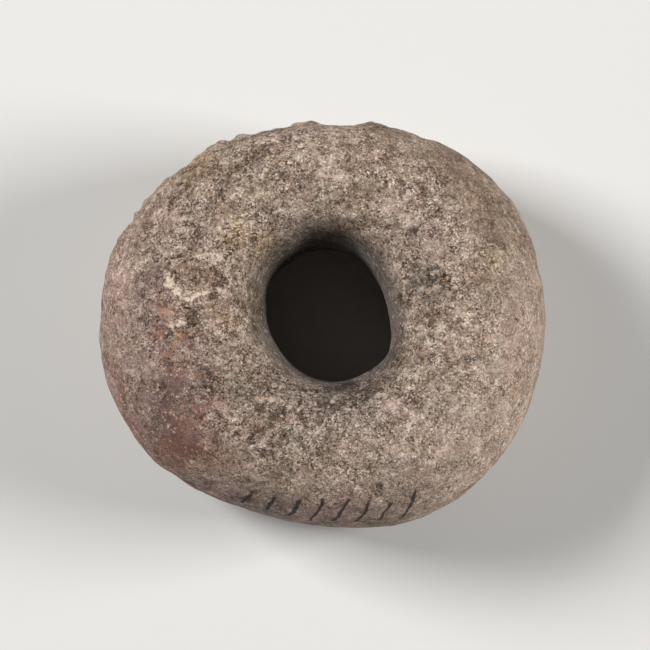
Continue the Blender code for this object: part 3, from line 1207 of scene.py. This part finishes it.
def stone_colour(tree, place, tone, crumbs, pocks, rough_here, hue):
    """The tone's colour, then tints (some of them painted light and shade), crumbs, painted shade in pocks
    and hollows, deposits and ink over it, in this order.
    """
    colour = with_tints(tree, ramp(tree, tone, STONE_TONES), place, hue)
    crumb_cover = product(tree, crumbs, spread(tree, rough_here, *CRUMB_COVER_BY_ROUGH))
    colour = blend(tree, "MIX", crumb_cover, colour, CRUMB)
    # painted shade in pocks and cracks
    colour = blend(tree, "MULTIPLY", pocks, colour, PAINTED_POCK_SHADE)
    # painted shade in the hollows of the relief
    painted_hollow_shade = spread(tree, attribute(tree, "painted_hollow_shade"), 0.5, 1.0)
    colour = blend(tree, "MULTIPLY", painted_hollow_shade, colour, PAINTED_HOLLOW_SHADE)
    earth = noise(tree, place, *EARTH_EDGE_NOISE)[0]
    colour = with_deposits(tree, colour, earth)
    ink = product(tree, ink_strokes(tree, place, hue), spread(tree, earth, *INK_WEAR))
    return blend(tree, "MIX", ink, colour, INK)


def stone_material():
    """Speckled stone. Its bump adds up grains, crumbs and weighted flats, and sinks at pocks."""
    material = bpy.data.materials.new("speckled stone")
    material.use_nodes = True
    tree = material.node_tree
    place = add(tree, "TexCoord").outputs["Object"]
    rough_here = attribute(tree, "rough")
    busy = use(tree, clouds, {"Vector": place, "Per Metre": BUSY_PER_METRE})["Swing"]
    hue = use(tree, clouds, {"Vector": place, "Per Metre": HUE_PER_METRE})["Swing"]
    swing = grain_and_clouds(tree, place)
    flats = flat_patches(tree, place, rough_here)
    tone = stone_tone(tree, swing, flats, rough_here, busy)
    crumbs = crumb_mask(tree, place, hue)
    pocks = pock_mask(tree, place, busy, rough_here)
    height = sum_of(
        tree, swing, crumbs, product(tree, flats, FLATS_IN_BUMP), product(tree, pocks, POCKS_IN_BUMP)
    )
    bump = {"Height": height, "Strength": BUMP_STRENGTH, "Distance": BUMP_DEPTH}

    shader = tree.nodes["Principled BSDF"]
    colour = stone_colour(tree, place, tone, crumbs, pocks, rough_here, hue)
    tree.links.new(colour, shader.inputs["Base Color"])
    tree.links.new(spread(tree, tone, *ROUGHNESS_BY_TONE), shader.inputs["Roughness"])
    tree.links.new(add(tree, "Bump", bump).outputs[0], shader.inputs["Normal"])
    shader.inputs["Specular IOR Level"].default_value = SHINE
    return material


stone.data.materials.append(stone_material())
print("material with", len(stone.data.materials[0].node_tree.nodes), "nodes")

# %% [markdown]
# ## Put the skin in place of the solid
#
# The skin rides on the same body as the solid, and stands for it in pictures. The solid stays behind it
# for weight and collision.

# %% Ride and replace
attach(stone, "root")
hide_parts("whorl")
print(stone.name, "stands for the whorl")

# %% [markdown]
# ## Floor and light
#
# The floor is plain and pale. The stone is lit as on a copying stand: a soft light on the left and a lower
# one on the right, both a little behind it, so that the hole's far wall falls into shadow. Neither stands
# high enough to look down through the hole, which keeps the floor in it dark.

# %% Floor
FLOOR_SIZE = 3.0
FLOOR_COLOUR = (0.64, 0.63, 0.61, 1)
FLOOR_ROUGHNESS = 0.9


def add_floor():
    """A level square at z = 0, on which the stone rests."""
    bpy.ops.mesh.primitive_plane_add(size=FLOOR_SIZE)
    floor = bpy.context.object
    floor.name = "floor"
    material = bpy.data.materials.new("pale floor")
    material.use_nodes = True
    shader = material.node_tree.nodes["Principled BSDF"]
    shader.inputs["Base Color"].default_value = FLOOR_COLOUR
    shader.inputs["Roughness"].default_value = FLOOR_ROUGHNESS
    floor.data.materials.append(material)
    return floor


add_floor()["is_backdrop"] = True
print("floor", FLOOR_SIZE, "m wide")

# %% Lights
LIGHT_DISTANCE = 0.9
LIGHT_SIZE = 0.34
LIGHTS = (  # name, degrees round from +X, degrees up, watts
    ("left", 158, 40, 9.5),
    ("right", 2, 28, 9.0),
)
WORLD_STRENGTH = 0.04


def add_light(name, azimuth, elevation, power):
    """A square area light that faces the stone, from (cos a cos e, sin a cos e, sin e) of its angles."""
    data = bpy.data.lights.new(name, "AREA")
    data.size = LIGHT_SIZE
    data.energy = power
    light = bpy.data.objects.new(name, data)
    a, e = np.radians(azimuth), np.radians(elevation)
    towards = Vector((np.cos(a) * np.cos(e), np.sin(a) * np.cos(e), np.sin(e)))
    light.location = AIM + towards * LIGHT_DISTANCE
    light.rotation_euler = towards.to_track_quat("Z", "Y").to_euler()
    bpy.context.scene.collection.objects.link(light)


for light_row in LIGHTS:
    add_light(*light_row)
world = bpy.data.worlds.new("studio")
world.use_nodes = True
background = world.node_tree.nodes["Background"]
background.inputs["Color"].default_value = (1.0, 1.0, 1.0, 1)
background.inputs["Strength"].default_value = WORLD_STRENGTH
bpy.context.scene.world = world
bpy.context.scene.view_settings.view_transform = "Standard"
print(len(bpy.data.lights), "lights")

# %% [markdown]
# ## Check the size and finish
# The skin must not outgrow the solid. Both boxes are printed.
# The skin must not outgrow the solid. Both boxes are written to a file, to be compared after each render.

# %% Print the boxes and finish
skin_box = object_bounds()
for name, box in (("solid", solid_box), ("skin", skin_box)):
    print(name, [[round(value / MM, 2) for value in corner] for corner in box])
